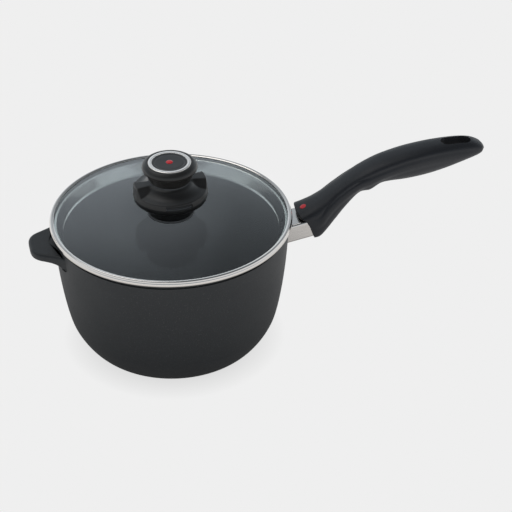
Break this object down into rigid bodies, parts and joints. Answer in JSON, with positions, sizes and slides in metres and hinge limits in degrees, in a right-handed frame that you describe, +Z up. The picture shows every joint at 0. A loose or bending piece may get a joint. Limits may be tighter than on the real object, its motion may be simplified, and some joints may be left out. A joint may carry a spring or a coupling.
{
  "type": "saucepan with lid",
  "caption": "Deep round saucepan with a long curved handle, a helper lug and a steel-banded glass lid with a vented knob.",
  "frame": {"origin": "centre of the flat base, on the surface that the pan stands on", "axes": "+X along the handle, +Z up, the helper lug on -X"},
  "size_m": [0.4068, 0.2108, 0.1786],
  "materials": {
    "cast_coating": "cast aluminium under a fine matte black non-stick coating",
    "phenolic": "satin black phenolic",
    "knob_phenolic": "satin black phenolic, a little glossier on edges",
    "steel": "polished stainless steel",
    "sleeve_steel": "satin stainless steel",
    "zinc": "zinc plated steel",
    "brass": "turned brass",
    "silicone": "matte grey silicone",
    "lid_glass": "clear tempered glass, faintly grey-green",
    "badge_red": "glossy red enamel",
    "knob_disc": "dark grey moulded disc"
  },
  "bodies": {
    "pan": {"pan_body": "cast_coating", "boss_thread_insert": "zinc", "handle_sleeve": "sleeve_steel", "handle_grip": "phenolic", "handle_lock_washer": "zinc", "handle_screw": "zinc", "handle_badge": "badge_red"},
    "lid": {"lid_glass": "lid_glass", "lid_band": "steel", "glass_washer": "silicone", "steel_washer": "zinc", "knob_screw": "zinc", "base_gasket": "silicone", "vent_base": "knob_phenolic", "dial_wave_washer": "zinc", "knob_body": "knob_phenolic", "knob_thread_insert": "brass", "knob_trim_ring": "steel", "knob_disc": "knob_disc", "knob_badge": "badge_red"},
    "dial": {"vent_dial": "knob_phenolic"}
  },
  "joints": [
    {"name": "lid_lift", "type": "slide", "parent": "pan", "child": "lid", "axis": [0, 0, 1], "range_m": [0, 0.15]},
    {"name": "vent_dial_turn", "type": "hinge", "parent": "lid", "child": "dial", "pos_m": [0, 0, 0.155], "axis": [0, 0, 1], "range_deg": [0, 60]}
  ]
}
